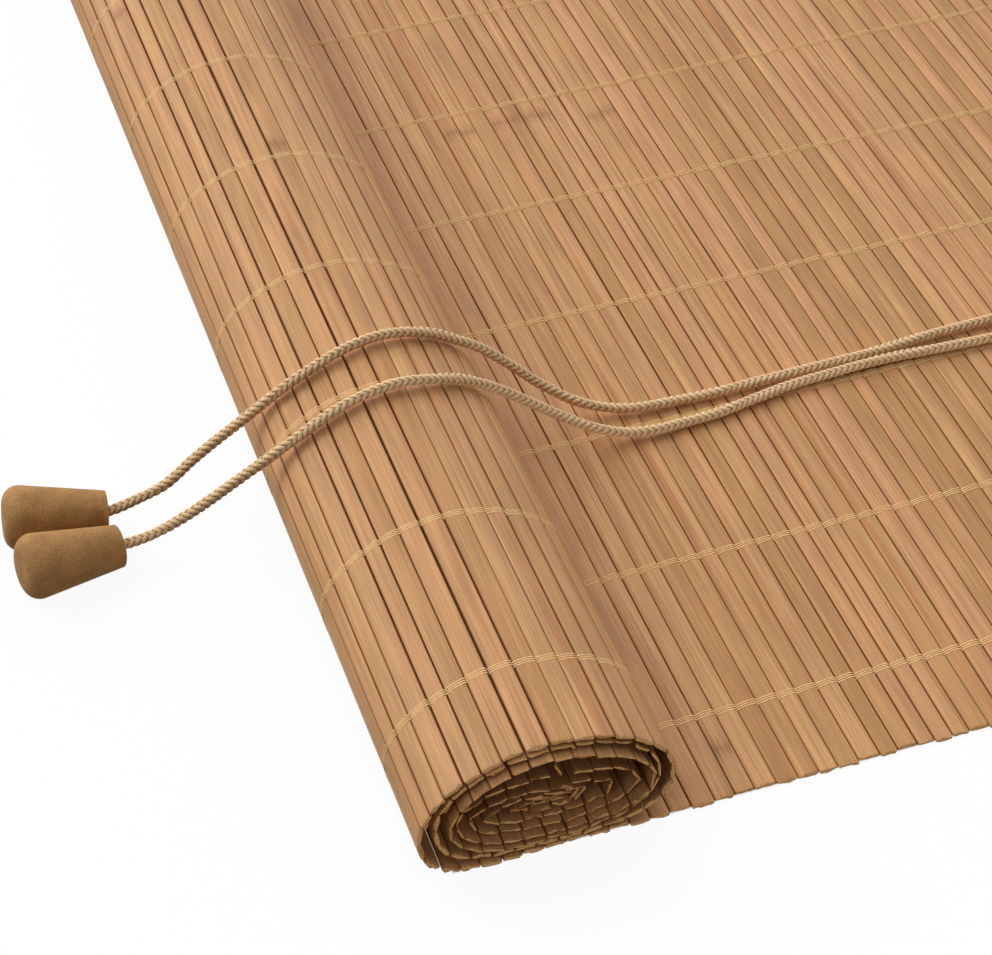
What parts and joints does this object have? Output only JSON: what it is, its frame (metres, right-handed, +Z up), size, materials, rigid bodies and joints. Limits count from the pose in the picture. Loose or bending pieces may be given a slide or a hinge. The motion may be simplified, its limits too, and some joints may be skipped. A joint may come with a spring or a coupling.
{
  "type": "bamboo roll up blind",
  "caption": "Stitched bamboo slat roll up blind, partly rolled into an oval coil, with a wooden head batten, hangers, a cord pulley and pull cords with turned wooden pulls.",
  "frame": {"origin": "on the table, under the middle of the blind without its cords and pulls", "axes": "+Y along the slats, +X across the slats from the roll to the head batten, +Z up from the table"},
  "size_m": [0.5677, 0.608, 0.0539],
  "materials": {
    "bamboo": "split bamboo, smooth skin, satin",
    "thread": "spun thread, matt",
    "batten_wood": "planed softwood, satin",
    "zinc_steel": "zinc plated, dull",
    "nylon": "moulded nylon, matt",
    "braid": "braided cotton cord, matt",
    "pull_wood": "turned wood, matt"
  },
  "bodies": {
    "blind": {"flat_mat": "bamboo", "rolled_mat": "bamboo", "stitch_row_1": "thread", "stitch_row_2": "thread", "stitch_row_3": "thread", "stitch_row_4": "thread", "stitch_row_5": "thread", "stitch_row_6": "thread", "stitch_row_7": "thread", "stitch_row_8": "thread", "stitch_row_9": "thread", "head_batten": "batten_wood", "hanger_near": "zinc_steel", "hanger_far": "zinc_steel", "screws": "zinc_steel", "pulley_bracket": "zinc_steel", "pulley_axle": "zinc_steel", "cord_near": "braid", "cord_far": "braid", "pull_near": "pull_wood", "pull_far": "pull_wood"},
    "near_wheel": {"sheave_near": "nylon"},
    "far_wheel": {"sheave_far": "nylon"}
  },
  "joints": [
    {"name": "near_wheel_spin", "type": "hinge", "parent": "blind", "child": "near_wheel", "pos_m": [0.2095, -0.1356, 0.025], "axis": [0, 1, 0], "continuous": true},
    {"name": "far_wheel_spin", "type": "hinge", "parent": "blind", "child": "far_wheel", "pos_m": [0.2095, -0.1284, 0.025], "axis": [0, 1, 0], "continuous": true}
  ]
}
